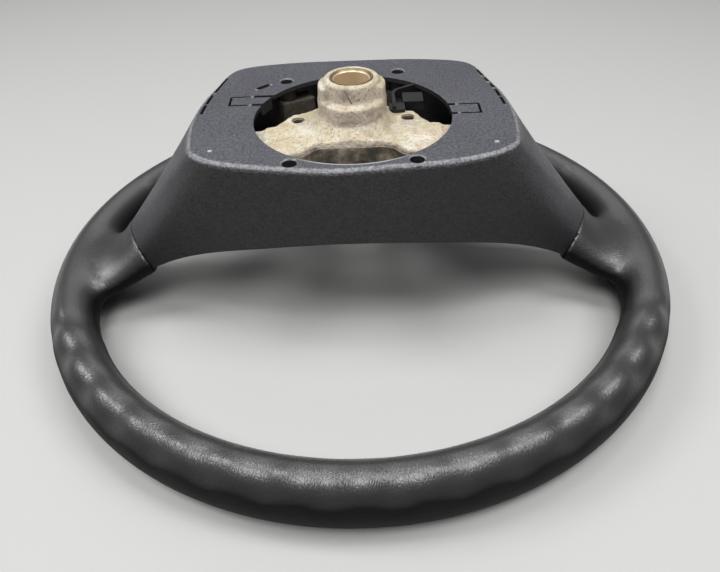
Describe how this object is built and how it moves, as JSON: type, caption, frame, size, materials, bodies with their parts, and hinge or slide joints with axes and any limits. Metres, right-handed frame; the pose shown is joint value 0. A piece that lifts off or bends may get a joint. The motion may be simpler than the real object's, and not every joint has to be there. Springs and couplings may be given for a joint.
{
  "type": "car steering wheel",
  "caption": "Car steering wheel with its airbag module removed: soft rim with finger grips, moulded rear cover, and a cast hub with a splined bore.",
  "frame": {"origin": "centre of the rim, in the plane that the wheel rests on when it lies face down", "axes": "+Z along the column axis, out of the hub's mouth; -Y towards the wheel's top; +X to the right as seen from the column with the top nearest"},
  "size_m": [0.38, 0.38, 0.1401],
  "materials": {
    "grip": "soft grained foam skin, satin",
    "casting": "rough die casting, stained cream",
    "sleeve": "yellow passivated steel, turned",
    "cover": "fine grained moulding",
    "screws": "black coated",
    "guide": "plain black moulding"
  },
  "bodies": {
    "root": {"rim_grip": "grip", "armature": "casting", "splined_boss": "sleeve", "rear_cover": "cover", "left_service_cap": "cover", "right_service_cap": "cover", "cover_screws": "screws", "wiring_guide": "guide"}
  },
  "joints": []
}
